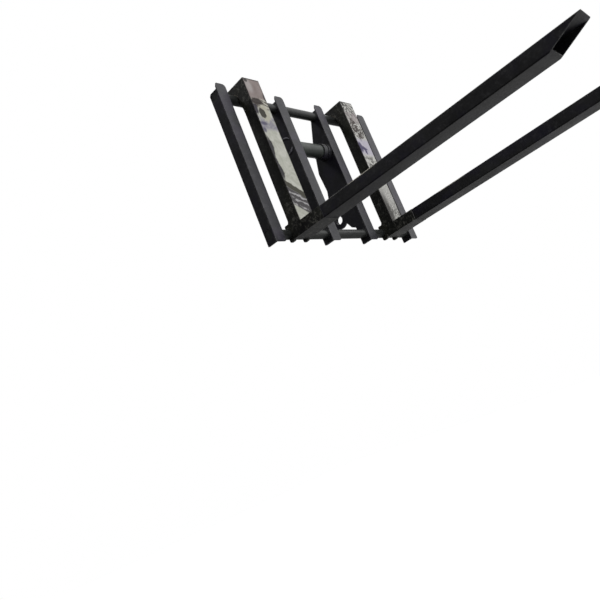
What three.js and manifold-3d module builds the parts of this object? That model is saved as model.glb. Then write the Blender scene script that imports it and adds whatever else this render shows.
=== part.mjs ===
// Pallet fork attachment: a carriage of four uprights and two round shafts,
// carrying two hollow forks that slide along the upper shaft and swing up on it.
// Millimetres. +Z is up, the blades point along -Y, X runs across the carriage.
import * as THREE from 'three';
import { mergeVertices } from 'three/addons/utils/BufferGeometryUtils.js';
import Module from 'manifold-3d';

const wasm = await Module();
wasm.setup();

// Gap kept between pieces that touch or are welded together.
const GAP = 0.3;

// Carriage. Heights are above the lower ends of the uprights,
// depths are behind the front faces of the upright strips.
const STRIP_WIDTH = 54;
const STRIP_THICK = 5;
const STRIP_BOTTOM = 0;
const STRIP_TOP = 703;
const STRIP_TOE_RADIUS = 15;
const STRIP_FOOT_RADIUS = 7;
const STRIP_CORNER_WIDE = 8;
const STRIP_CORNER_HIGH = 18;
const UPRIGHT_LEFT_EDGES = [-492, -159, 105, 438];
const WEB_FRONT = STRIP_THICK + GAP;
const WEB_REAR = 50;
const WEB_TOP = 676;
const WEB_THICK = 8;
const EAR_THICK = 12;

// Round shafts, both on one vertical line.
const SHAFT_RADIUS = 20;
const SHAFT_Y = 27.5;
const UPPER_SHAFT_Z = 654;
const LOWER_SHAFT_Z = 40;
const SHAFT_LEFT = -490;
const SHAFT_RIGHT = 444;
const SHAFT_BORE_RADIUS = SHAFT_RADIUS + GAP;

// Hitch behind the two inner uprights.
const PIN_BORE_RADIUS = 20;
const PIN_Y = 120;
const PIN_Z = 160;
const LUG_RADIUS = 42;
const BOSS_RADIUS = 34;
const BOSS_THICK = 10;
const HITCH_TUBE_RADIUS = 32;
const HITCH_TUBE_WALL = 6;
const HITCH_TUBE_Y = 43;
const HITCH_TUBE_Z = 471;
const COLLAR_RADIUS = 37;
const FLANGE_THICK = 14;
const STOP_THICK = 24;
const COLLAR_SPACE = 8;

// Forks.
const FORK_CENTRES = [-340, 289];
const FORK_NAMES = ['left', 'right'];
const FORK_WIDTH = 90;
const FORK_FRONT = -54;
const FORK_TOP = 709;
const FACE_THICK = 4;
const CHEEK_THICK = 12;
const BLADE_TOP = 60;
const BLADE_BOTTOM = 10;
const BLADE_WALL = 5;
const BLADE_CORNER = 4;
const HEEL_END = -160;
const TIP_Y = -1176;
const TIP_CUT_START = -1061;
const HOOK_REAR = 64;
const HOOK_ARM_BOTTOM = 662;
const LINER_INNER = SHAFT_RADIUS + 0.05;
const LINER_OUTER = 23.5;
const HOOK_BORE_RADIUS = LINER_OUTER + GAP;
const CLAW_BORE_RADIUS = 20.5;
const CLAW_REAR = 30.5;
const CLAW_TOP = 75;
const CLAW_BOTTOM = 5;
const SHANK_REAR_TOP = 0;
const SHANK_REAR_BOTTOM = 5;
const PLATE_THICK = 6;
const CAP_THICK = 8;

// Moves the finished part so that its origin is the centre of its base.
const EAR_REAR = PIN_Y + LUG_RADIUS;
const BASE_SHIFT_Y = -(TIP_Y + EAR_REAR) / 2;

const ROUND_STEPS = 40;

const part = new THREE.Group();
part.name = 'pallet_fork_attachment';
part.position.set(0, BASE_SHIFT_Y, 0);

const PAINT = { color: 0x1d1e22, roughness: 0.45, metalness: 0.2 };
const SHAFT_PAINT = { color: 0x24262a, roughness: 0.4, metalness: 0.3 };
const BARE_STEEL = { color: 0xb9b8b4, roughness: 0.4, metalness: 0.85 };
const LINER_STEEL = { color: 0x77736b, roughness: 0.35, metalness: 0.9 };

function addMesh(parent, name, geometry, look, x = 0, y = 0, z = 0) {
  const mesh = new THREE.Mesh(geometry, new THREE.MeshStandardMaterial(look));
  mesh.name = name;
  mesh.position.set(x, y, z);
  parent.add(mesh);
  return mesh;
}

function toManifold(geometry) {
  const bare = geometry.clone();
  bare.deleteAttribute('normal');
  bare.deleteAttribute('uv');
  const merged = mergeVertices(bare, 1e-4);
  const mesh = new wasm.Mesh({
    numProp: 3,
    vertProperties: new Float32Array(merged.attributes.position.array),
    triVerts: new Uint32Array(merged.index.array),
  });
  mesh.merge();
  return new wasm.Manifold(mesh);
}

function fromManifold(solid) {
  const mesh = solid.getMesh();
  const geometry = new THREE.BufferGeometry();
  const positions = new THREE.BufferAttribute(new Float32Array(mesh.vertProperties), 3);
  geometry.setAttribute('position', positions);
  geometry.setIndex(new THREE.BufferAttribute(new Uint32Array(mesh.triVerts), 1));
  const flat = geometry.toNonIndexed();
  flat.computeVertexNormals();
  return flat;
}

function cut(geometry, ...tools) {
  let solid = toManifold(geometry);
  for (const tool of tools) {
    solid = solid.subtract(toManifold(tool));
  }
  return fromManifold(solid);
}

function shapeFrom(points, holes = []) {
  const shape = new THREE.Shape(points.map(([u, v]) => new THREE.Vector2(u, v)));
  for (const hole of holes) {
    shape.holes.push(new THREE.Path(hole.map(([u, v]) => new THREE.Vector2(u, v))));
  }
  return shape;
}

// Points on an arc, from one angle to another in degrees.
function arc(centreU, centreV, radius, fromDeg, toDeg, steps) {
  const points = [];
  for (let i = 0; i <= steps; i += 1) {
    const angle = THREE.MathUtils.degToRad(fromDeg + ((toDeg - fromDeg) * i) / steps);
    points.push([centreU + radius * Math.cos(angle), centreV + radius * Math.sin(angle)]);
  }
  return points;
}

// A full circle, run clockwise because it is always used as a hole.
function roundHole(centreU, centreV, radius) {
  return arc(centreU, centreV, radius, 360, 0, ROUND_STEPS).slice(0, -1);
}

// Side profile in Y and Z, as thick along X as asked, starting at x = 0.
function sidePlate(points, thick, holes = []) {
  const geometry = new THREE.ExtrudeGeometry(shapeFrom(points, holes), {
    depth: thick,
    bevelEnabled: false,
  });
  const basis = new THREE.Matrix4().makeBasis(
    new THREE.Vector3(0, 1, 0),
    new THREE.Vector3(0, 0, 1),
    new THREE.Vector3(1, 0, 0),
  );
  return geometry.applyMatrix4(basis);
}

// Front profile in X and Z, running from y = 0 back to y = -depth.
function frontPlate(points, depth, holes = []) {
  const geometry = new THREE.ExtrudeGeometry(shapeFrom(points, holes), {
    depth,
    bevelEnabled: false,
  });
  const basis = new THREE.Matrix4().makeBasis(
    new THREE.Vector3(1, 0, 0),
    new THREE.Vector3(0, 0, 1),
    new THREE.Vector3(0, -1, 0),
  );
  return geometry.applyMatrix4(basis);
}

function rectangle(u0, v0, u1, v1) {
  return [[u0, v0], [u1, v0], [u1, v1], [u0, v1]];
}

function roundedRectangle(u0, v0, u1, v1, radius, steps = 3) {
  return [
    ...arc(u1 - radius, v0 + radius, radius, -90, 0, steps),
    ...arc(u1 - radius, v1 - radius, radius, 0, 90, steps),
    ...arc(u0 + radius, v1 - radius, radius, 90, 180, steps),
    ...arc(u0 + radius, v0 + radius, radius, 180, 270, steps),
  ];
}

// Ring with a hole through it, along X from x = 0.
function ring(outer, inner, thick) {
  const outline = arc(0, 0, outer, 0, 360, ROUND_STEPS).slice(0, -1);
  return sidePlate(outline, thick, [roundHole(0, 0, inner)]);
}

function shaft(radius, length) {
  const outline = arc(0, 0, radius, 0, 360, ROUND_STEPS).slice(0, -1);
  return sidePlate(outline, length);
}

// Carriage.
const carriage = new THREE.Group();
carriage.name = 'carriage';
part.add(carriage);

function stripOutline() {
  const foot = STRIP_FOOT_RADIUS;
  const toe = STRIP_TOE_RADIUS;
  return [
    [0, STRIP_BOTTOM],
    ...arc(STRIP_WIDTH - foot, STRIP_BOTTOM + foot, foot, -90, 0, 4),
    ...arc(STRIP_WIDTH - toe, STRIP_TOP - toe, toe, 0, 90, 6),
    [STRIP_CORNER_WIDE, STRIP_TOP],
    [0, STRIP_TOP - STRIP_CORNER_HIGH],
  ];
}

const shaftHoles = [
  roundHole(SHAFT_Y, UPPER_SHAFT_Z, SHAFT_BORE_RADIUS),
  roundHole(SHAFT_Y, LOWER_SHAFT_Z, SHAFT_BORE_RADIUS),
];

const webOutline = [
  [WEB_FRONT, 0],
  [WEB_REAR, 0],
  [WEB_REAR, WEB_TOP - 8],
  [WEB_REAR - 8, WEB_TOP],
  [WEB_FRONT, WEB_TOP],
];

// The inner uprights' webs widen rearwards into the hitch ears.
const earOutline = [
  [WEB_FRONT, 0],
  [WEB_REAR, 0],
  [WEB_REAR, 84],
  [70, 96],
  ...arc(PIN_Y, PIN_Z, LUG_RADIUS, -138, 42, 14),
  [117, 310],
  [123, 404],
  [87, 547],
  [WEB_REAR, 640],
  [WEB_REAR, WEB_TOP - 8],
  [WEB_REAR - 8, WEB_TOP],
  [WEB_FRONT, WEB_TOP],
];
const pinHole = roundHole(PIN_Y, PIN_Z, PIN_BORE_RADIUS);

UPRIGHT_LEFT_EDGES.forEach((left, i) => {
  const strip = frontPlate(stripOutline(), STRIP_THICK);
  addMesh(carriage, `upright_strip_${i + 1}`, strip, PAINT, left, STRIP_THICK, 0);
});

[0, 3].forEach((i) => {
  const web = sidePlate(webOutline, WEB_THICK, shaftHoles);
  addMesh(carriage, `upright_web_${i + 1}`, web, PAINT, UPRIGHT_LEFT_EDGES[i], 0, 0);
});

[1, 2].forEach((i) => {
  const ear = sidePlate(earOutline, EAR_THICK, [...shaftHoles, pinHole]);
  addMesh(carriage, `ear_plate_${i + 1}`, ear, PAINT, UPRIGHT_LEFT_EDGES[i], 0, 0);
});

const shaftLength = SHAFT_RIGHT - SHAFT_LEFT;
const shaftHeights = { upper_shaft: UPPER_SHAFT_Z, lower_shaft: LOWER_SHAFT_Z };
for (const [name, height] of Object.entries(shaftHeights)) {
  const body = shaft(SHAFT_RADIUS, shaftLength);
  addMesh(carriage, name, body, SHAFT_PAINT, SHAFT_LEFT, SHAFT_Y, height);
}

// Cross tube between the ears, with a flange and a stop ring at each end.
const tubeLeft = UPRIGHT_LEFT_EDGES[1] + EAR_THICK + GAP;
const tubeRight = UPRIGHT_LEFT_EDGES[2] - GAP;
const hitchTube = ring(HITCH_TUBE_RADIUS, HITCH_TUBE_RADIUS - HITCH_TUBE_WALL, tubeRight - tubeLeft);
addMesh(carriage, 'hitch_tube', hitchTube, SHAFT_PAINT, tubeLeft, HITCH_TUBE_Y, HITCH_TUBE_Z);

const stopInset = FLANGE_THICK + COLLAR_SPACE;
const collars = [
  ['hitch_flange_left', tubeLeft, FLANGE_THICK],
  ['hitch_stop_left', tubeLeft + stopInset, STOP_THICK],
  ['hitch_stop_right', tubeRight - stopInset - STOP_THICK, STOP_THICK],
  ['hitch_flange_right', tubeRight - FLANGE_THICK, FLANGE_THICK],
];
for (const [name, start, thick] of collars) {
  const collar = ring(COLLAR_RADIUS, HITCH_TUBE_RADIUS + GAP, thick);
  addMesh(carriage, name, collar, PAINT, start, HITCH_TUBE_Y, HITCH_TUBE_Z);
}

// Bosses round the lower pin bores, on the outer faces of the ears.
const bossStarts = {
  pin_boss_left: UPRIGHT_LEFT_EDGES[1] - GAP - BOSS_THICK,
  pin_boss_right: UPRIGHT_LEFT_EDGES[2] + EAR_THICK + GAP,
};
for (const [name, start] of Object.entries(bossStarts)) {
  const boss = ring(BOSS_RADIUS, PIN_BORE_RADIUS, BOSS_THICK);
  addMesh(carriage, name, boss, PAINT, start, PIN_Y, PIN_Z);
}

// Forks. Each is a box of two profile-cut cheeks and flat plates, with a tube blade.
const cheekFront = FORK_FRONT + FACE_THICK + GAP;
const armAngle = THREE.MathUtils.radToDeg(
  Math.asin((HOOK_ARM_BOTTOM - UPPER_SHAFT_Z) / HOOK_BORE_RADIUS),
);
const clawAngle = THREE.MathUtils.radToDeg(
  Math.acos((CLAW_REAR - SHAFT_Y) / CLAW_BORE_RADIUS),
);

const cheekOutline = [
  [HEEL_END, BLADE_BOTTOM],
  [SHANK_REAR_BOTTOM, BLADE_BOTTOM],
  [SHANK_REAR_BOTTOM + 6, CLAW_BOTTOM],
  [CLAW_REAR - 3, CLAW_BOTTOM],
  [CLAW_REAR, CLAW_BOTTOM + 4],
  ...arc(SHAFT_Y, LOWER_SHAFT_Z, CLAW_BORE_RADIUS, 360 - clawAngle, clawAngle, 18),
  [CLAW_REAR, CLAW_TOP - 4],
  [CLAW_REAR - 3, CLAW_TOP],
  [SHANK_REAR_BOTTOM + 5, CLAW_TOP],
  [SHANK_REAR_BOTTOM, CLAW_TOP + 8],
  [SHANK_REAR_TOP, 572],
  [SHANK_REAR_TOP + 0.8, 588],
  [SHANK_REAR_TOP + 2, 600],
  [SHAFT_Y - HOOK_BORE_RADIUS, 612],
  ...arc(SHAFT_Y, UPPER_SHAFT_Z, HOOK_BORE_RADIUS, 180, armAngle, 16),
  [HOOK_REAR, HOOK_ARM_BOTTOM],
  [HOOK_REAR, FORK_TOP - 10],
  [HOOK_REAR - 6, FORK_TOP],
  [cheekFront, FORK_TOP],
  [cheekFront, BLADE_TOP],
  [HEEL_END, BLADE_TOP],
];

function bladeTube() {
  const half = FORK_WIDTH / 2;
  const wall = BLADE_WALL;
  const outer = roundedRectangle(-half, BLADE_BOTTOM, half, BLADE_TOP, BLADE_CORNER);
  const inner = rectangle(
    -half + wall,
    BLADE_BOTTOM + wall,
    half - wall,
    BLADE_TOP - wall,
  ).reverse();
  const tube = frontPlate(outer, HEEL_END - GAP - TIP_Y, [inner]);
  tube.translate(0, HEEL_END - GAP, 0);
  // The wedge is carried past the tube on every side but its sloping face.
  const slope = (BLADE_TOP - BLADE_BOTTOM) / (TIP_Y - TIP_CUT_START);
  const startY = TIP_CUT_START + 40;
  const endY = TIP_Y - 40;
  const heightAt = (y) => BLADE_BOTTOM + slope * (y - TIP_CUT_START);
  const wedge = sidePlate([
    [endY, heightAt(startY) - 20],
    [startY, heightAt(startY) - 20],
    [startY, heightAt(startY)],
    [endY, heightAt(endY)],
  ], FORK_WIDTH + 20);
  wedge.translate(-half - 10, 0, 0);
  return cut(tube, wedge);
}

function hookLiner(length) {
  const outline = [
    ...arc(0, 0, LINER_OUTER, 0, 180, 20),
    ...arc(0, 0, LINER_INNER, 180, 0, 20),
  ];
  return sidePlate(outline, length);
}

// Flat plate filling the width between the cheeks, from a profile in Y and Z.
function innerPlate(fork, name, outline) {
  const width = FORK_WIDTH - 2 * CHEEK_THICK - 2 * GAP;
  addMesh(fork, name, sidePlate(outline, width), PAINT, -width / 2, 0, 0);
}

FORK_CENTRES.forEach((centre, i) => {
  const side = FORK_NAMES[i];
  const half = FORK_WIDTH / 2;
  const fork = new THREE.Group();
  fork.name = `fork_${side}`;
  fork.position.set(centre, 0, 0);
  part.add(fork);

  // The outer cheek is the one on the far side from the middle of the carriage.
  const outward = Math.sign(centre);
  const cheekStarts = {
    outer: outward < 0 ? -half : half - CHEEK_THICK,
    inner: outward < 0 ? half - CHEEK_THICK : -half,
  };
  for (const [place, start] of Object.entries(cheekStarts)) {
    const cheek = sidePlate(cheekOutline, CHEEK_THICK);
    addMesh(fork, `fork_${side}_cheek_${place}`, cheek, PAINT, start, 0, 0);
  }

  const face = frontPlate(rectangle(-half, BLADE_TOP + GAP, half, FORK_TOP), FACE_THICK);
  addMesh(fork, `fork_${side}_face`, face, BARE_STEEL, 0, FORK_FRONT + FACE_THICK, 0);

  const backTop = 560;
  const backBottom = CLAW_TOP + 8;
  const backSlope = (SHANK_REAR_TOP - SHANK_REAR_BOTTOM) / (572 - backBottom);
  const backAt = (z) => SHANK_REAR_BOTTOM - 1 + backSlope * (z - backBottom);
  innerPlate(fork, `fork_${side}_back`, [
    [backAt(backBottom) - PLATE_THICK, backBottom],
    [backAt(backBottom), backBottom],
    [backAt(backTop), backTop],
    [backAt(backTop) - PLATE_THICK, backTop],
  ]);
  innerPlate(fork, `fork_${side}_cap`, rectangle(
    cheekFront,
    FORK_TOP - CAP_THICK,
    HOOK_REAR - 8,
    FORK_TOP,
  ));
  innerPlate(fork, `fork_${side}_heel_top`, rectangle(
    HEEL_END,
    BLADE_TOP - PLATE_THICK,
    cheekFront - 1,
    BLADE_TOP,
  ));
  innerPlate(fork, `fork_${side}_heel_bottom`, rectangle(
    HEEL_END,
    BLADE_BOTTOM,
    SHANK_REAR_BOTTOM - PLATE_THICK - GAP,
    BLADE_BOTTOM + PLATE_THICK,
  ));
  innerPlate(fork, `fork_${side}_heel_back`, rectangle(
    SHANK_REAR_BOTTOM - PLATE_THICK,
    BLADE_BOTTOM,
    SHANK_REAR_BOTTOM,
    backBottom - GAP,
  ));
  addMesh(fork, `fork_${side}_blade`, bladeTube(), PAINT, 0, 0, 0);

  const liner = hookLiner(FORK_WIDTH);
  addMesh(
    fork,
    `fork_${side}_hook_liner`,
    liner,
    LINER_STEEL,
    -half,
    SHAFT_Y,
    UPPER_SHAFT_Z,
  );
});

export default part;
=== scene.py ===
import math
import random

import bmesh
import bpy
from mathutils import Matrix, Vector


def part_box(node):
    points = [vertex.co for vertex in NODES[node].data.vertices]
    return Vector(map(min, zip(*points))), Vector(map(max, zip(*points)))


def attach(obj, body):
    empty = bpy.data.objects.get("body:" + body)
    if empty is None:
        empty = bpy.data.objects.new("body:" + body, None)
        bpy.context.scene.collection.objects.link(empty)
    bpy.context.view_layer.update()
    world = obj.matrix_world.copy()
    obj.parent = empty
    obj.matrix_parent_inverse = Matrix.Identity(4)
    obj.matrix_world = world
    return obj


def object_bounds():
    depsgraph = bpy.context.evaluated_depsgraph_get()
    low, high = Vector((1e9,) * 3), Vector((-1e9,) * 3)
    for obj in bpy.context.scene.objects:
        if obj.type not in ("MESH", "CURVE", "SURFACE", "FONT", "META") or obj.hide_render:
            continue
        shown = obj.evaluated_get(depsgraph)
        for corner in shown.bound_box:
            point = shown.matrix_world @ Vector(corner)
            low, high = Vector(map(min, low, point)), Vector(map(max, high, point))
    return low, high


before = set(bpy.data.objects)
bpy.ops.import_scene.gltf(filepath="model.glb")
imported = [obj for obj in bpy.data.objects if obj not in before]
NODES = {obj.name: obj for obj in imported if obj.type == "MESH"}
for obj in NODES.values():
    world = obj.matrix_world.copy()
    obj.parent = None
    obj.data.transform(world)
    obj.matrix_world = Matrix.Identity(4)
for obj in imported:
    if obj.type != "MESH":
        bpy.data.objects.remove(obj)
CAD_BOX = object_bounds()

FORKS = ("left", "right")

# Colours laid over the paint and the steel.
DUST = (0.23, 0.215, 0.19)
# Pale flecks: scuffed paint, and over the cheeks' hook also painted light.
PALE_FLECK_AND_LIGHT = (0.185, 0.182, 0.160)
CHIP = (0.33, 0.32, 0.31)
# Colour of the thin bright line along the top of the blade flanks.
EDGE_LINE_BRIGHT = (0.66, 0.62, 0.52)

# Edges: bevel widths and the merging distance in metres, angles in radians.
PLATE_BEVEL = 0.0010
HEAVY_BEVEL = 0.0012
BLADE_BEVEL = 0.0008
FACE_BEVEL = 0.0006
LINER_BEVEL = 0.0003
BEVEL_ANGLE = math.radians(40)
SMOOTH_ANGLE = math.radians(36)
MERGE_DISTANCE = 0.00002

# Weld beads: radii, heights and ripple lengths in metres. TUBE_ARCS are stretches of
# the circle, counted in its steps.
STITCH_RADIUS = 0.0036
STITCH_LENGTH = 0.05
STITCH_HEIGHTS = (0.085, 0.21, 0.335, 0.46, 0.575)
SHAFT_WELD_RADIUS = 0.0026
RING_WELD_RADIUS = 0.003
TUBE_ARC_RADIUS = 0.0050
TUBE_ARC_RIPPLE = 0.0100
TUBE_ARCS = ((8, 16), (21, 29))
BUTT_WELD_RADIUS = 0.0018
FOOT_WELD_RADIUS = 0.0030
BEAD_RIPPLE = 0.0042
BEAD_SIDES = 8
CIRCLE_STEPS = 36

# Stage and light. BRIGHT_SIDE is the way the brightest surroundings lie.
FLOOR_DROP = 1.45
FLOOR_HALF = 9.0
LAMP_DISTANCE = 4.0
BRIGHT_SIDE = (0.70, -0.70, 0.14)

# Camera: place in metres, turn about Z, tilt and roll in degrees.
CAMERA_PLACE = (-2.1390, -0.9073, -0.7240)
CAMERA_AZIMUTH = -49.336
CAMERA_ELEVATION = -12.599
CAMERA_ROLL = -21.529
CAMERA_LENS = 37.15


# ---------------------------------------------------------------- node helpers
class Tree:
    """Short calls for building one material's nodes in object coordinates."""

    def __init__(self, name):
        self.mat = bpy.data.materials.new(name)
        self.mat.use_nodes = True
        self.nt = self.mat.node_tree
        self.nt.nodes.clear()
        self.out = self.nt.nodes.new("ShaderNodeOutputMaterial")
        self.shader = self.nt.nodes.new("ShaderNodeBsdfPrincipled")
        self.link(self.shader.outputs[0], self.out.inputs[0])
        self.coord = self.nt.nodes.new("ShaderNodeTexCoord").outputs["Object"]

    def link(self, source, socket):
        self.nt.links.new(source, socket)

    def put(self, socket, value):
        if isinstance(value, bpy.types.NodeSocket):
            self.link(value, socket)
        elif isinstance(value, tuple) and len(value) == 3 and len(socket.default_value) == 4:
            socket.default_value = (*value, 1.0)
        else:
            socket.default_value = value

    def set(self, name, value):
        self.put(self.shader.inputs[name], value)

    def math(self, op, a, b=0.0, c=0.0, clamp=False):
        n = self.nt.nodes.new("ShaderNodeMath")
        n.operation = op
        n.use_clamp = clamp
        for socket, value in zip(n.inputs, (a, b, c)):
            self.put(socket, value)
        return n.outputs[0]

    def add(self, a, b):
        return self.math("ADD", a, b)

    def mul(self, a, b):
        return self.math("MULTIPLY", a, b)

    def ramp(self, value, low, high, out_low=0.0, out_high=1.0):
        n = self.nt.nodes.new("ShaderNodeMapRange")
        n.interpolation_type = "SMOOTHSTEP"
        names = ("Value", "From Min", "From Max", "To Min", "To Max")
        for key, v in zip(names, (value, low, high, out_low, out_high)):
            self.put(n.inputs[key], v)
        return n.outputs[0]

    def mix(self, factor, a, b):
        n = self.nt.nodes.new("ShaderNodeMix")
        n.data_type = "RGBA"
        self.put(n.inputs[0], factor)
        self.put(n.inputs[6], a)
        self.put(n.inputs[7], b)
        return n.outputs[2]

    def stretched(self, sx, sy, sz, offset=(0.0, 0.0, 0.0)):
        n = self.nt.nodes.new("ShaderNodeMapping")
        self.link(self.coord, n.inputs[0])
        n.inputs["Scale"].default_value = (sx, sy, sz)
        n.inputs["Location"].default_value = offset
        return n.outputs[0]

    def noise(self, scale, detail=3.0, rough=0.55, warp=0.0, vector=None):
        n = self.nt.nodes.new("ShaderNodeTexNoise")
        self.link(vector or self.coord, n.inputs["Vector"])
        n.inputs["Scale"].default_value = scale
        n.inputs["Detail"].default_value = detail
        n.inputs["Roughness"].default_value = rough
        n.inputs["Distortion"].default_value = warp
        return n.outputs["Fac"]

    def axes(self):
        n = self.nt.nodes.new("ShaderNodeSeparateXYZ")
        self.link(self.coord, n.inputs[0])
        return n.outputs

    def normal_axes(self):
        g = self.nt.nodes.new("ShaderNodeNewGeometry")
        n = self.nt.nodes.new("ShaderNodeSeparateXYZ")
        self.link(g.outputs["Normal"], n.inputs[0])
        return n.outputs

    def edges(self, radius):
        """About 1 along sharp outer edges and corners, 0 on the flats."""
        bevel = self.nt.nodes.new("ShaderNodeBevel")
        bevel.samples = 4
        bevel.inputs["Radius"].default_value = radius
        geometry = self.nt.nodes.new("ShaderNodeNewGeometry")
        dot = self.nt.nodes.new("ShaderNodeVectorMath")
        dot.operation = "DOT_PRODUCT"
        self.link(bevel.outputs[0], dot.inputs[0])
        self.link(geometry.outputs["Normal"], dot.inputs[1])
        return self.ramp(dot.outputs["Value"], 0.995, 0.90)

    def bump(self, height, strength, distance, below=None):
        n = self.nt.nodes.new("ShaderNodeBump")
        n.inputs["Strength"].default_value = strength
        n.inputs["Distance"].default_value = distance
        self.link(height, n.inputs["Height"])
        if below is not None:
            self.link(below, n.inputs["Normal"])
        return n.outputs[0]

    def ellipse(self, u, v, centre_u, centre_v, half_u, half_v, soft=0.25, wobble=None):
        """1 inside an ellipse in two coordinates, fading out across its rim."""
        du = self.math("DIVIDE", self.math("SUBTRACT", u, centre_u), half_u)
        dv = self.math("DIVIDE", self.math("SUBTRACT", v, centre_v), half_v)
        r = self.math("SQRT", self.add(self.mul(du, du), self.mul(dv, dv)))
        if wobble is not None:
            r = self.add(r, wobble)
        return self.ramp(r, 1.0 + soft, 1.0 - soft)


# ------------------------------------------------------------------- materials
def zone(t, v, low, high, soft=0.012):
    """1 between two heights, fading out over a short distance at both."""
    return t.mul(t.ramp(v, low - soft, low + soft), t.ramp(v, high + soft, high - soft))


def painted(name, dark, light, tint, sheen, wear, dust, speckle=0.25, fleck_and_light_bands=()):
    """Satin paint: blotches, speckle, dust, chipped edges, fine scratches.
    Heights in the last argument bound pale flecks. These are scuffed paint, and on the cheeks'
    upper band over the hook they are also painted light, which lightens the hook top as if lit
    against the shaded cheek below."""
    t = Tree(name)
    broad = t.noise(5.5, 4.0, 0.6, 0.4)
    middle = t.noise(38.0, 4.0, 0.65)
    grit = t.noise(95.0, 5.0, 0.75, 0.3)
    fine = t.noise(420.0, 3.0, 0.7)
    colour = t.mix(t.ramp(broad, 0.35, 0.68), dark, light)
    colour = t.mix(t.mul(t.ramp(t.noise(9.0, 2.0), 0.46, 0.64), 0.8), colour, tint)
    colour = t.mix(t.mul(t.ramp(middle, 0.52, 0.8), 0.5), colour, tuple(2.0 * c for c in light))
    specks = t.mul(t.ramp(grit, 0.52, 0.62), t.ramp(middle, 0.40, 0.58))
    colour = t.mix(t.mul(specks, speckle), colour, tuple(3.6 * c for c in light))
    # Pale flecks between given heights: scuffed paint, and on the cheeks' hook band also painted
    # light standing in for the lit top of the hook.
    scuff_and_light_flecks = 0.0
    z = t.axes()[2]
    for low, high in fleck_and_light_bands:
        scuff_and_light_flecks = t.math("MAXIMUM", scuff_and_light_flecks, zone(t, z, low, high, 0.03))
    flecks = t.mul(t.ramp(t.noise(48.0, 5.0, 0.75, 0.8), 0.52, 0.57), t.ramp(grit, 0.42, 0.54))
    scuff_and_light_flecks = t.mul(t.mul(flecks, scuff_and_light_flecks), 0.75)
    colour = t.mix(scuff_and_light_flecks, colour, PALE_FLECK_AND_LIGHT)
    up = t.normal_axes()[2]
    settled = t.mul(t.ramp(up, -0.1, 0.9), t.ramp(t.add(middle, t.mul(fine, 0.4)), 0.5, 0.95))
    colour = t.mix(t.mul(settled, dust), colour, DUST)
    line = t.noise(1.0, 2.0, 0.5, vector=t.stretched(70.0, 5.0, 24.0))
    line = t.math("ABSOLUTE", t.math("SUBTRACT", line, 0.5))
    scratch = t.mul(t.ramp(line, 0.006, 0.0), t.ramp(t.noise(14.0, 2.0), 0.58, 0.7))
    chipped = t.mul(t.edges(0.0022), t.ramp(t.add(middle, t.mul(broad, 0.4)), 0.62, 0.84))
    bare = t.math("MAXIMUM", t.mul(scratch, 0.22 * wear), t.mul(chipped, wear), clamp=True)
    colour = t.mix(bare, colour, CHIP)
    t.set("Base Color", colour)
    t.set("Metallic", t.mul(bare, 0.75))
    rough = t.ramp(t.add(t.mul(broad, 0.5), t.mul(grit, 0.5)), 0.3, 0.7, sheen - 0.10, sheen + 0.12)
    t.set("Roughness", t.add(rough, t.mul(settled, 0.2)))
    t.set("Specular IOR Level", 0.5)
    peel = t.bump(fine, 0.22, 0.0006)
    drips = t.bump(t.add(middle, t.mul(grit, speckle)), 0.2, 0.0022, peel)
    t.set("Normal", t.bump(bare, 0.35, -0.0004, drips))
    return t


def bright_edge_line(t, y_from, y_to, z_edge):
    """A thin bright line painted along the top of a blade's flanks, a few millimetres below the top
    edge.
    """
    _, y, z = t.axes()
    along = t.mul(t.ramp(y, y_from, y_from + 0.05), t.ramp(y, y_to, y_to - 0.03))
    normal_x, _, _ = t.normal_axes()
    flank = t.ramp(t.math("ABSOLUTE", normal_x), 0.3, 0.6)
    near = t.mul(t.ramp(z, z_edge - 0.0050, z_edge - 0.0036), flank)
    amount = t.mul(t.mul(along, near), t.ramp(t.noise(120.0, 3.0, 0.6), 0.34, 0.44))
    socket = t.shader.inputs["Base Color"]
    painted_colour = socket.links[0].from_socket
    t.link(t.mix(t.mul(amount, 0.85), painted_colour, EDGE_LINE_BRIGHT), socket)


def shaft_finish(name, dark, light, rub):
    """Thinly painted drawn bar, rubbed where the forks slide along it."""
    t = Tree(name)
    broad = t.noise(7.0, 3.0, 0.6, 0.3)
    ring_marks = t.noise(1.0, 3.0, 0.6, vector=t.stretched(240.0, 4.0, 4.0))
    fine = t.noise(500.0, 3.0, 0.7)
    colour = t.mix(t.ramp(broad, 0.35, 0.7), dark, light)
    colour = t.mix(t.mul(t.ramp(ring_marks, 0.5, 0.72), 0.4), colour, tuple(1.8 * c for c in light))
    rubbed = t.mul(t.ramp(t.noise(55.0, 4.0, 0.7), 0.55, 0.72), t.ramp(ring_marks, 0.42, 0.6))
    rubbed = t.math("MAXIMUM", t.mul(rubbed, rub), t.mul(t.edges(0.0018), 0.5), clamp=True)
    colour = t.mix(rubbed, colour, (0.33, 0.33, 0.32))
    t.set("Base Color", colour)
    t.set("Metallic", t.mul(rubbed, 0.6))
    t.set("Roughness", t.ramp(broad, 0.3, 0.75, 0.30, 0.46))
    peel = t.bump(fine, 0.2, 0.0005)
    t.set("Normal", t.bump(ring_marks, 0.1, 0.0008, peel))
    return t.mat


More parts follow.
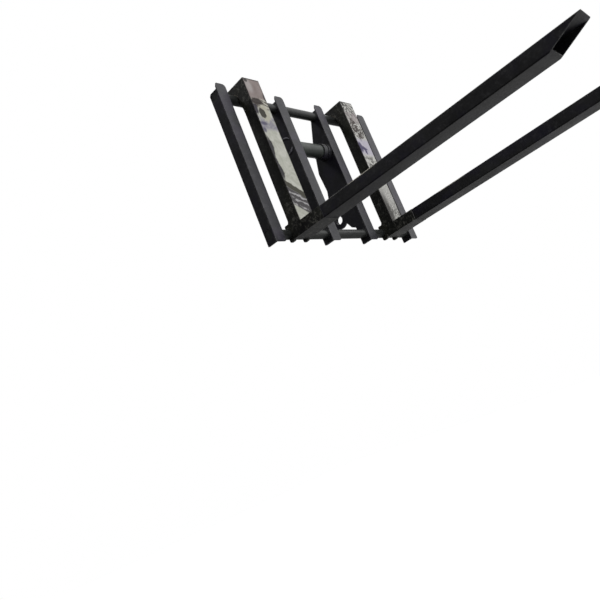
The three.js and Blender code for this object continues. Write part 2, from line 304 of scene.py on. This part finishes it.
def left_stains(t, steel, u, v, flow, wobble):
    """Stains down the left fork's face. u runs from -1 to 1 across it, v from 0 to 1 up it."""
    top = t.ramp(t.add(v, t.mul(wobble, 0.012)), 0.835, 0.862)
    steel = t.mix(top, steel, t.mix(flow, (0.20, 0.155, 0.145), (0.44, 0.37, 0.35)))
    pale = t.ellipse(u, v, -0.58, 0.945, 0.36, 0.050, 0.5, wobble)
    steel = t.mix(t.mul(pale, 0.5), steel, (0.52, 0.50, 0.49))
    streaks = t.math("SINE", t.add(t.mul(v, 210.0), t.add(t.mul(u, 3.5), t.mul(wobble, 9.0))))
    curls = zone(t, v, 0.775, 0.85)
    steel = t.mix(t.mul(curls, t.ramp(streaks, 0.0, 0.4, 0.0, 0.8)), steel, (0.115, 0.085, 0.07))
    steel = t.mix(t.mul(curls, t.ramp(streaks, -0.5, -0.9, 0.0, 0.7)), steel, (0.60, 0.56, 0.45))
    violet = t.mul(zone(t, v, 0.625, 0.715, 0.02), t.ramp(flow, 0.40, 0.58, 0.25, 0.9))
    steel = t.mix(violet, steel, (0.26, 0.245, 0.325))
    for ellipse in ((-0.55, 0.668, 0.42, 0.013), (-0.78, 0.618, 0.22, 0.020)):
        spot = t.ellipse(u, v, *ellipse, 0.4, wobble)
        steel = t.mix(t.mul(spot, 0.8), steel, (0.095, 0.085, 0.17))
    rim = t.ellipse(u, v, 0.08, 0.748, 0.62, 0.062, 0.15, t.mul(wobble, 0.6))
    steel = t.mix(t.mul(rim, 0.85), steel, (0.52, 0.50, 0.40))
    shade = t.ellipse(u, v, -0.88, 0.772, 0.36, 0.042, 0.3, wobble)
    steel = t.mix(t.mul(shade, 0.95), steel, (0.028, 0.021, 0.040))
    oval = t.ellipse(u, v, -0.20, 0.748, 0.42, 0.038, 0.14, t.mul(wobble, 0.6))
    steel = t.mix(t.mul(oval, 0.95), steel, (0.034, 0.030, 0.020))
    band = t.ellipse(u, v, -0.45, 0.829, 0.70, 0.026, 0.25, wobble)
    steel = t.mix(t.mul(band, 0.96), steel, (0.032, 0.020, 0.017))
    notch = t.ellipse(u, v, 1.0, 0.873, 0.24, 0.030, 0.3, wobble)
    steel = t.mix(t.mul(notch, 0.85), steel, (0.05, 0.04, 0.045))
    wave = t.add(t.mul(t.math("SINE", t.mul(v, 34.0)), 0.13), t.mul(wobble, 0.2))
    scallop = t.mul(t.ramp(t.add(u, wave), -0.64, -0.76), zone(t, v, 0.27, 0.57, 0.04))
    steel = t.mix(t.mul(scallop, 0.96), steel, (0.022, 0.019, 0.027))
    slant = t.add(v, t.add(t.mul(u, 0.0425), t.mul(wobble, 0.016)))
    steel = t.mix(t.mul(zone(t, slant, 0.185, 0.232, 0.004), 0.95), steel, (0.052, 0.048, 0.030))
    foot = t.math("SUBTRACT", v, t.math("SUBTRACT", 0.068, t.mul(u, 0.038)))
    low = t.mul(t.ramp(slant, 0.190, 0.180), t.ramp(foot, -0.006, 0.008))
    steel = t.mix(t.mul(low, 0.94), steel, (0.062, 0.056, 0.064))
    strokes = t.math("SINE", t.add(t.mul(v, 165.0), t.add(t.mul(u, 4.2), t.mul(wobble, 7.0))))
    broken = t.ramp(t.noise(38.0, 2.0), 0.40, 0.52)
    steel = t.mix(t.mul(t.mul(low, broken), t.ramp(strokes, 0.35, 0.75, 0.0, 0.92)), steel,
                  (0.47, 0.46, 0.47))
    return steel


def right_stains(t, steel, u, v, flow, wobble, speck):
    """Stains down the right fork's face, in the same coordinates."""
    steel = t.mix(0.5, steel, (0.66, 0.645, 0.645))
    blotch = t.ramp(t.noise(62.0, 4.0, 0.72, 0.6), 0.485, 0.525)
    top = t.mul(t.ramp(v, 0.84, 0.90), blotch)
    steel = t.mix(t.mul(top, 0.9), steel, (0.055, 0.052, 0.050))
    tan = t.mul(zone(t, v, 0.82, 0.91), t.ramp(flow, 0.40, 0.56, 0.15, 0.75))
    steel = t.mix(tan, steel, (0.34, 0.285, 0.29))
    crust = t.ellipse(u, v, -0.10, 0.765, 0.85, 0.080, 0.25, t.mul(wobble, 1.6))
    lumps = t.ramp(t.noise(44.0, 4.0, 0.72, 1.0), 0.425, 0.465)
    steel = t.mix(t.mul(crust, t.mul(lumps, 0.94)), steel, (0.060, 0.044, 0.038))
    violet = zone(t, v, 0.545, 0.675, 0.02)
    steel = t.mix(t.mul(violet, 0.6), steel, (0.50, 0.455, 0.62))
    ink = t.ellipse(u, v, -0.35, 0.600, 0.50, 0.013, 0.4, t.mul(wobble, 2.0))
    ink = t.math("MAXIMUM", ink, t.ellipse(u, v, -0.78, 0.612, 0.30, 0.040, 0.4, wobble))
    ink = t.math("MAXIMUM", ink, t.ellipse(u, v, -0.15, 0.570, 0.14, 0.022, 0.4, wobble))
    steel = t.mix(t.mul(ink, 0.9), steel, (0.060, 0.045, 0.14))
    pits = t.mul(zone(t, v, 0.43, 0.53, 0.02), blotch)
    steel = t.mix(t.mul(pits, 0.8), steel, (0.10, 0.092, 0.085))
    ragged = t.add(u, t.mul(t.math("SUBTRACT", speck, 0.5), 2.6))
    worn = t.mul(t.ramp(ragged, -0.20, -0.55), t.ramp(v, 0.34, 0.10))
    steel = t.mix(t.mul(worn, 0.95), steel, (0.040, 0.038, 0.034))
    steel = t.mix(t.mul(t.ramp(v, 0.40, 0.34), t.ramp(speck, 0.48, 0.54, 0.0, 0.65)), steel,
                  (0.20, 0.192, 0.180))
    foot = t.mul(t.ramp(v, 0.20, 0.04), blotch)
    return t.mix(t.mul(foot, 0.8), steel, (0.075, 0.072, 0.064))


def bare_face(name, side, box):
    """Unpainted shank face: mill steel with paint runs, stains and wavy scrape marks."""
    lo, hi = box
    t = Tree(name)
    x, _, z = t.axes()
    u = t.math("DIVIDE", t.math("SUBTRACT", x, (lo.x + hi.x) / 2), (hi.x - lo.x) / 2)
    v = t.math("DIVIDE", t.math("SUBTRACT", z, lo.z), hi.z - lo.z)
    flow = t.noise(26.0, 4.0, 0.6, 1.2)
    speck = t.noise(170.0, 4.0, 0.7)
    grain = t.noise(1.0, 4.0, 0.7, vector=t.stretched(620.0, 300.0, 26.0))
    wobble = t.mul(t.math("SUBTRACT", flow, 0.5), 1.6)
    steel = t.mix(t.ramp(flow, 0.35, 0.7), (0.46, 0.47, 0.395), (0.62, 0.62, 0.555))
    steel = t.mix(t.mul(t.ramp(grain, 0.45, 0.75), 0.35), steel, (0.74, 0.74, 0.71))
    if side == "left":
        steel = left_stains(t, steel, u, v, flow, wobble)
    else:
        steel = right_stains(t, steel, u, v, flow, wobble, speck)
    corner = t.ellipse(u, v, -0.72, 0.985, 0.20, 0.016, 0.2, t.mul(wobble, 0.4))
    rim = t.ramp(t.add(v, t.mul(wobble, 0.003)), 0.990, 0.995)
    sides = t.ramp(t.add(t.math("ABSOLUTE", u), t.mul(wobble, 0.05)), 0.93, 0.975)
    rim = t.math("MAXIMUM", t.math("MAXIMUM", rim, sides), corner)
    steel = t.mix(t.mul(rim, 0.88), steel, (0.045, 0.042, 0.042))
    steel = t.mix(t.mul(t.ramp(speck, 0.60, 0.70), 0.45), steel, (0.27, 0.255, 0.22))
    t.set("Base Color", steel)
    bw = t.nt.nodes.new("ShaderNodeRGBToBW")
    t.link(steel, bw.inputs[0])
    clean = t.ramp(bw.outputs[0], 0.12, 0.45)
    t.set("Metallic", t.mul(clean, 0.25))
    t.set("Specular IOR Level", 0.3)
    t.set("Roughness", t.ramp(t.add(t.mul(clean, 0.6), t.mul(flow, 0.4)), 0.2, 0.8, 0.62, 0.42))
    fine = t.bump(grain, 0.12, 0.0005)
    t.set("Normal", t.bump(bw.outputs[0], 0.25, 0.0008, fine))
    return t.mat


def bead_finish(name, colour_a, colour_b, metal):
    """Weld metal, mottled between two colours."""
    t = Tree(name)
    n = t.noise(160.0, 4.0, 0.7)
    t.set("Base Color", t.mix(t.ramp(n, 0.35, 0.7), colour_a, colour_b))
    t.set("Metallic", metal)
    t.set("Roughness", t.ramp(n, 0.3, 0.7, 0.34, 0.55))
    t.set("Normal", t.bump(n, 0.3, 0.0006))
    return t.mat


def greased_steel(name):
    """Bare steel with dark grease smears and fine turning lines."""
    t = Tree(name)
    n = t.noise(60.0, 4.0, 0.65, 0.5)
    line = t.noise(1.0, 3.0, 0.6, vector=t.stretched(20.0, 500.0, 500.0))
    colour = t.mix(t.ramp(n, 0.4, 0.65), (0.09, 0.075, 0.055), (0.34, 0.32, 0.29))
    colour = t.mix(t.mul(t.ramp(line, 0.5, 0.7), 0.4), colour, (0.5, 0.49, 0.46))
    t.set("Base Color", colour)
    t.set("Metallic", t.ramp(n, 0.4, 0.65, 0.3, 0.85))
    t.set("Roughness", t.ramp(n, 0.35, 0.7, 0.22, 0.45))
    t.set("Normal", t.bump(line, 0.12, 0.0005))
    return t.mat


FRAME_PAINT = painted("frame_paint", (0.0095, 0.0095, 0.013), (0.018, 0.018, 0.023),
                      (0.015, 0.013, 0.028), 0.42, 0.5, 0.35).mat
STRIP_PAINT = painted("strip_paint", (0.027, 0.027, 0.033), (0.043, 0.043, 0.051),
                      (0.045, 0.039, 0.062), 0.42, 0.7, 0.4).mat
# Cheek paint: the upper fleck band, over the hook, is partly painted light that lightens the hook
# top as if lit; the lower band is pale flecks on the heel.
CHEEK_PAINT = painted("cheek_paint", (0.0095, 0.0095, 0.0095), (0.019, 0.020, 0.017),
                      (0.022, 0.023, 0.013), 0.36, 0.8, 0.45, 0.75,
                      ((0.610, 0.75), (-0.05, 0.20))).mat
BLADE_TREE = painted("blade_paint", (0.0125, 0.0125, 0.0145), (0.022, 0.022, 0.024),
                     (0.015, 0.013, 0.030), 0.40, 0.9, 0.5, 0.35)
# A thin bright line along the top of the blade flanks.
bright_edge_line(BLADE_TREE, 0.05, 0.21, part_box("fork_left_blade")[1].z)
BLADE_PAINT = BLADE_TREE.mat
SHAFT_STEEL = shaft_finish("shaft_finish", (0.018, 0.020, 0.020), (0.036, 0.039, 0.037), 0.25)
TUBE_STEEL = shaft_finish("tube_finish", (0.050, 0.058, 0.052), (0.082, 0.093, 0.083), 0.35)
LINER_STEEL = greased_steel("liner_finish")
WELD_PAINTED = bead_finish("weld_painted", (0.018, 0.018, 0.021), (0.04, 0.04, 0.043), 0.0)
WELD_BARE = bead_finish("weld_bare", (0.10, 0.10, 0.10), (0.24, 0.235, 0.225), 0.3)
WELD_FRESH = bead_finish("weld_fresh", (0.08, 0.08, 0.10), (0.42, 0.41, 0.46), 0.2)
BUTT_FINISH = {"left": WELD_PAINTED, "right": WELD_BARE}


# ------------------------------------------------------------ edges and shading
def smooth_group():
    """Smooth shading with sharp edges kept, as a node modifier."""
    group = bpy.data.node_groups.new("smooth_by_angle", "GeometryNodeTree")
    group.interface.new_socket("Geometry", in_out="INPUT", socket_type="NodeSocketGeometry")
    group.interface.new_socket("Geometry", in_out="OUTPUT", socket_type="NodeSocketGeometry")
    start = group.nodes.new("NodeGroupInput")
    end = group.nodes.new("NodeGroupOutput")
    faces = group.nodes.new("GeometryNodeSetShadeSmooth")
    faces.domain = "FACE"
    faces.inputs["Shade Smooth"].default_value = True
    edges = group.nodes.new("GeometryNodeSetShadeSmooth")
    edges.domain = "EDGE"
    edges.inputs["Shade Smooth"].default_value = False
    angle = group.nodes.new("GeometryNodeInputMeshEdgeAngle")
    wide = group.nodes.new("FunctionNodeCompare")
    wide.data_type = "FLOAT"
    wide.operation = "GREATER_THAN"
    wide.inputs["B"].default_value = SMOOTH_ANGLE
    group.links.new(start.outputs[0], faces.inputs["Geometry"])
    group.links.new(faces.outputs[0], edges.inputs["Geometry"])
    group.links.new(angle.outputs["Unsigned Angle"], wide.inputs["A"])
    group.links.new(wide.outputs[0], edges.inputs["Selection"])
    group.links.new(edges.outputs[0], end.inputs[0])
    return group


SMOOTH = smooth_group()


def dress(node, material, bevel):
    """Gives a CAD node its material, rounded edges and smooth shading."""
    obj = NODES[node]
    obj.data.materials.clear()
    obj.data.materials.append(material)
    weld = obj.modifiers.new("weld", "WELD")
    weld.merge_threshold = MERGE_DISTANCE
    edge = obj.modifiers.new("edge", "BEVEL")
    edge.width = bevel
    edge.segments = 2
    edge.limit_method = "ANGLE"
    edge.angle_limit = BEVEL_ANGLE
    edge.use_clamp_overlap = True
    shade = obj.modifiers.new("shade", "NODES")
    shade.node_group = SMOOTH
    flat = obj.modifiers.new("flat", "WEIGHTED_NORMAL")
    flat.keep_sharp = True


for i in (1, 2, 3, 4):
    dress(f"upright_strip_{i}", STRIP_PAINT, HEAVY_BEVEL)
for node in ("upright_web_1", "upright_web_4", "pin_boss_left", "pin_boss_right"):
    dress(node, FRAME_PAINT, PLATE_BEVEL)
for node in ("ear_plate_2", "ear_plate_3"):
    dress(node, FRAME_PAINT, HEAVY_BEVEL)
for side in ("left", "right"):
    dress(f"hitch_flange_{side}", STRIP_PAINT, PLATE_BEVEL)
    dress(f"hitch_stop_{side}", STRIP_PAINT, PLATE_BEVEL)
for node in ("upper_shaft", "lower_shaft"):
    dress(node, SHAFT_STEEL, HEAVY_BEVEL)
dress("hitch_tube", TUBE_STEEL, HEAVY_BEVEL)
CHEEK_PIECES = ("cheek_outer", "cheek_inner", "back", "cap", "heel_top", "heel_bottom", "heel_back")
for side in FORKS:
    for piece in CHEEK_PIECES:
        dress(f"fork_{side}_{piece}", CHEEK_PAINT, PLATE_BEVEL)
    dress(f"fork_{side}_blade", BLADE_PAINT, BLADE_BEVEL)
    dress(f"fork_{side}_hook_liner", LINER_STEEL, LINER_BEVEL)
    face = f"fork_{side}_face"
    dress(face, bare_face(face + "_finish", side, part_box(face)), FACE_BEVEL)


# ------------------------------------------------------------------ weld beads
def bead(name, points, out, radius, body, material, closed=False, ripple=BEAD_RIPPLE,
         seed=1):
    """A rippled weld bead along a path of points. out is the way it bulges,
    one direction for the whole bead or one per point."""
    rng = random.Random(seed)
    path = [Vector(p) for p in points]
    outs = [Vector(o).normalized() for o in out] if isinstance(out, list) else None
    single = None if outs else Vector(out).normalized()
    spans = list(zip(path, path[1:] + path[:1])) if closed else list(zip(path, path[1:]))
    stations = []
    for k, (a, b) in enumerate(spans):
        length = (b - a).length
        count = max(1, round(length / (ripple / 3)))
        for s in range(count):
            f = s / count
            way = single or outs[k].lerp(outs[(k + 1) % len(path)], f).normalized()
            stations.append((a.lerp(b, f), (b - a).normalized(), way))
    if not closed:
        a, b = spans[-1]
        stations.append((b, (b - a).normalized(), single or outs[-1]))
    bm = bmesh.new()
    rings = []
    total = len(stations)
    for k, (at, along, way) in enumerate(stations):
        across = along.cross(way).normalized()
        swell = 0.80 + 0.20 * abs(math.sin(math.pi * k / 3.0)) + rng.uniform(-0.06, 0.06)
        if not closed:
            swell *= min(1.0, 0.35 + 0.65 * min(k, total - 1 - k) / 4.0)
        ring = []
        for j in range(BEAD_SIDES):
            angle = 2 * math.pi * j / BEAD_SIDES
            offset = across * math.cos(angle) * radius * swell
            offset += way * math.sin(angle) * radius * swell * 0.85
            ring.append(bm.verts.new(at + offset))
        rings.append(ring)
    pairs = zip(rings, rings[1:] + rings[:1]) if closed else zip(rings, rings[1:])
    for r0, r1 in pairs:
        for j in range(BEAD_SIDES):
            after = (j + 1) % BEAD_SIDES
            bm.faces.new((r0[j], r0[after], r1[after], r1[j]))
    if not closed:
        bm.faces.new(list(reversed(rings[0])))
        bm.faces.new(rings[-1])
    bmesh.ops.recalc_face_normals(bm, faces=bm.faces)
    for f in bm.faces:
        f.smooth = True
    mesh = bpy.data.meshes.new(name)
    bm.to_mesh(mesh)
    bm.free()
    obj = bpy.data.objects.new(name, mesh)
    bpy.context.scene.collection.objects.link(obj)
    mesh.materials.append(material)
    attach(obj, body)
    return obj


def circle(centre, radius):
    """Points round a circle about an axis along X, and the directions outwards."""
    points, outs = [], []
    for k in range(CIRCLE_STEPS):
        a = 2 * math.pi * k / CIRCLE_STEPS
        way = Vector((0.0, math.cos(a), math.sin(a)))
        points.append(Vector(centre) + way * radius)
        outs.append(way)
    return points, outs


def centre_of(node):
    """The middle of a node's box."""
    lo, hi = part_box(node)
    return (lo + hi) / 2


# Uprights: stitches in the corner between each strip and its web.
WEBS = ("upright_web_1", "ear_plate_2", "ear_plate_3", "upright_web_4")
for i, web in enumerate(WEBS, 1):
    corner_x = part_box(web)[1].x + 0.0006
    corner_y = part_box(f"upright_strip_{i}")[1].y + 0.0006
    for k, z in enumerate(STITCH_HEIGHTS):
        ends = [(corner_x, corner_y, z), (corner_x, corner_y, z + STITCH_LENGTH)]
        bead(f"strip_weld_{i}_{k}", ends, (1, 1, 0), STITCH_RADIUS, "carriage", WELD_PAINTED,
             seed=10 * i + k)

# Shafts: a bead all round where they pass through the webs, on both faces.
# The first web's near face has none, because the shafts end inside that web.
for i, web in enumerate(WEBS, 1):
    lo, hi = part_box(web)
    for shaft in ("upper_shaft", "lower_shaft"):
        centre = centre_of(shaft)
        shaft_lo, shaft_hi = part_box(shaft)
        radius = (shaft_hi.z - shaft_lo.z) / 2
        for tag, x in (("near", lo.x - 0.0002), ("far", hi.x + 0.0002)):
            if tag == "near" and i == 1:
                continue
            points, outs = circle((x, centre.y, centre.z), radius + 0.0012)
            bead(f"{shaft}_weld_{i}_{tag}", points, outs, SHAFT_WELD_RADIUS, "carriage",
                 WELD_PAINTED, closed=True, seed=50 + i)

# Hitch: beads round the flanges on the ears' inner faces. On the outer faces, two
# short arcs opposite the tube and a bead round each pin boss.
EARS = {"left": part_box("ear_plate_2"), "right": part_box("ear_plate_3")}
INNER_X = {"left": EARS["left"][1].x, "right": EARS["right"][0].x}
OUTER_X = {"left": EARS["left"][0].x, "right": EARS["right"][1].x}


def ring_weld(name, node, x):
    """A bead round a ring that stands on an ear's face at x."""
    lo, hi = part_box(node)
    centre = (lo + hi) / 2
    points, outs = circle((x, centre.y, centre.z), (hi.z - lo.z) / 2 + 0.0008)
    bead(name, points, outs, RING_WELD_RADIUS, "carriage", WELD_PAINTED, closed=True)


for side in INNER_X:
    ring_weld(f"hitch_flange_weld_{side}", f"hitch_flange_{side}", INNER_X[side])
tube_centre = centre_of("hitch_tube")
tube_lo, tube_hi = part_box("hitch_tube")
for side in OUTER_X:
    arc_radius = (tube_hi.z - tube_lo.z) / 2 + 0.0045
    points, outs = circle((OUTER_X[side], tube_centre.y, tube_centre.z), arc_radius)
    for part, (first, last) in enumerate(TUBE_ARCS, 1):
        bead(f"hitch_tube_weld_{side}_{part}", points[first:last], outs[first:last],
             TUBE_ARC_RADIUS, "carriage", WELD_FRESH, ripple=TUBE_ARC_RIPPLE, seed=90 + part)
    ring_weld(f"pin_boss_weld_{side}", f"pin_boss_{side}", OUTER_X[side])

# Forks: the butt weld between heel box and blade tube, and the fillet at the foot
# of the face. The butt weld follows the tube's corners, cut off by CORNER.
CORNER = 0.0025
for side in FORKS:
    body = f"fork_{side}"
    blade_lo, blade_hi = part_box(f"fork_{side}_blade")
    face_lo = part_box(f"fork_{side}_face")[0]
    y = blade_hi.y + 0.00015
    x0, x1, z0, z1 = blade_lo.x, blade_hi.x, blade_lo.z, blade_hi.z
    loop = [(x0 + CORNER, y, z0), (x1 - CORNER, y, z0), (x1, y, z0 + CORNER), (x1, y, z1 - CORNER),
            (x1 - CORNER, y, z1), (x0 + CORNER, y, z1), (x0, y, z1 - CORNER), (x0, y, z0 + CORNER)]
    ways = [(-0.4, 0, -1), (0.4, 0, -1), (1, 0, -0.4), (1, 0, 0.4),
            (0.4, 0, 1), (-0.4, 0, 1), (-1, 0, 0.4), (-1, 0, -0.4)]
    bead(f"fork_{side}_butt_weld", loop, ways, BUTT_WELD_RADIUS, body, BUTT_FINISH[side],
         closed=True)
    foot_y = face_lo.y + 0.0004
    foot = [(x0 + 0.002, foot_y, face_lo.z), (x1 - 0.002, foot_y, face_lo.z)]
    bead(f"fork_{side}_foot_weld", foot, (0, -1, 1), FOOT_WELD_RADIUS, body, WELD_PAINTED)

# ---------------------------------------------------------- stage, lights, camera
floor_z = CAD_BOX[0].z - FLOOR_DROP
corners = ((-1, -1), (1, -1), (1, 1), (-1, 1))
floor_mesh = bpy.data.meshes.new("floor")
floor_mesh.from_pydata(
    [(sx * FLOOR_HALF, sy * FLOOR_HALF, floor_z) for sx, sy in corners], [], [(0, 1, 2, 3)])
floor = bpy.data.objects.new("floor", floor_mesh)
bpy.context.scene.collection.objects.link(floor)
floor_tree = Tree("floor_finish")
floor_tree.set("Base Color", (0.9, 0.9, 0.9))
floor_tree.set("Roughness", 0.9)
floor_tree.set("Specular IOR Level", 0.1)
floor_tree.set("Emission Color", (1.0, 1.0, 1.0))
floor_tree.set("Emission Strength", 0.6)
floor_mesh.materials.append(floor_tree.mat)
floor.visible_diffuse = False
floor.visible_glossy = False

scene = bpy.context.scene
scene.view_settings.view_transform = "Standard"
scene.view_settings.look = "None"
world = bpy.data.worlds.new("studio")
scene.world = world
world.use_nodes = True
background = world.node_tree.nodes["Background"]
background.inputs[1].default_value = 1.0
sky = world.node_tree
direction = sky.nodes.new("ShaderNodeTexCoord").outputs["Generated"]


def sky_ramp(value, low, high, out_low, out_high):
    """The same smooth step as Tree.ramp, in the world's nodes."""
    n = sky.nodes.new("ShaderNodeMapRange")
    n.interpolation_type = "SMOOTHSTEP"
    limits = {"From Min": low, "From Max": high, "To Min": out_low, "To Max": out_high}
    for key, number in limits.items():
        n.inputs[key].default_value = number
    sky.links.new(value, n.inputs["Value"])
    return n.outputs[0]


# Light falls off from the bright side to the dark side and towards the ground.
# The camera sees plain white behind the part.
facing = sky.nodes.new("ShaderNodeVectorMath")
facing.operation = "DOT_PRODUCT"
facing.inputs[1].default_value = BRIGHT_SIDE
sky.links.new(direction, facing.inputs[0])
height = sky.nodes.new("ShaderNodeSeparateXYZ")
sky.links.new(direction, height.inputs[0])
side_light = sky_ramp(facing.outputs["Value"], -0.45, 0.65, 0.07, 1.15)
ground_light = sky_ramp(height.outputs[2], -0.30, 0.05, 0.30, 1.0)
soft = sky.nodes.new("ShaderNodeMath")
soft.operation = "MULTIPLY"
sky.links.new(side_light, soft.inputs[0])
sky.links.new(ground_light, soft.inputs[1])
backdrop = sky.nodes.new("ShaderNodeMix")
backdrop.data_type = "FLOAT"
backdrop.inputs[3].default_value = 1.0
sky.links.new(sky.nodes.new("ShaderNodeLightPath").outputs["Is Camera Ray"], backdrop.inputs[0])
sky.links.new(soft.outputs[0], backdrop.inputs[2])
sky.links.new(backdrop.outputs[0], background.inputs[0])


def sun(name, energy, direction, spread):
    """A sun whose rays travel along direction. spread is its width in degrees."""
    data = bpy.data.lights.new(name, "SUN")
    data.energy = energy
    data.angle = math.radians(spread)
    obj = bpy.data.objects.new(name, data)
    scene.collection.objects.link(obj)
    way = Vector(direction).normalized()
    middle = (CAD_BOX[0] + CAD_BOX[1]) / 2
    obj.location = middle - way * LAMP_DISTANCE
    obj.rotation_mode = "QUATERNION"
    obj.rotation_quaternion = way.to_track_quat("-Z", "Y")


sun("key", 0.45, (0.55, -0.45, -1.0), 14)
sun("rear_fill", 0.5, (-0.5, -0.8, -0.55), 30)

camera_data = bpy.data.cameras.new("camera")
camera_data.lens = CAMERA_LENS
camera_data.sensor_width = 36.0
camera_data.sensor_fit = "HORIZONTAL"
camera_data.clip_start = 0.05
camera_data.clip_end = 60.0
camera = bpy.data.objects.new("camera", camera_data)
scene.collection.objects.link(camera)
turn = Matrix.Rotation(math.radians(CAMERA_AZIMUTH), 4, "Z")
tilt = Matrix.Rotation(math.radians(90 - CAMERA_ELEVATION), 4, "X")
roll = Matrix.Rotation(math.radians(CAMERA_ROLL), 4, "Z")
camera.matrix_world = Matrix.Translation(CAMERA_PLACE) @ turn @ tilt @ roll
scene.camera = camera

bpy.context.view_layer.update()
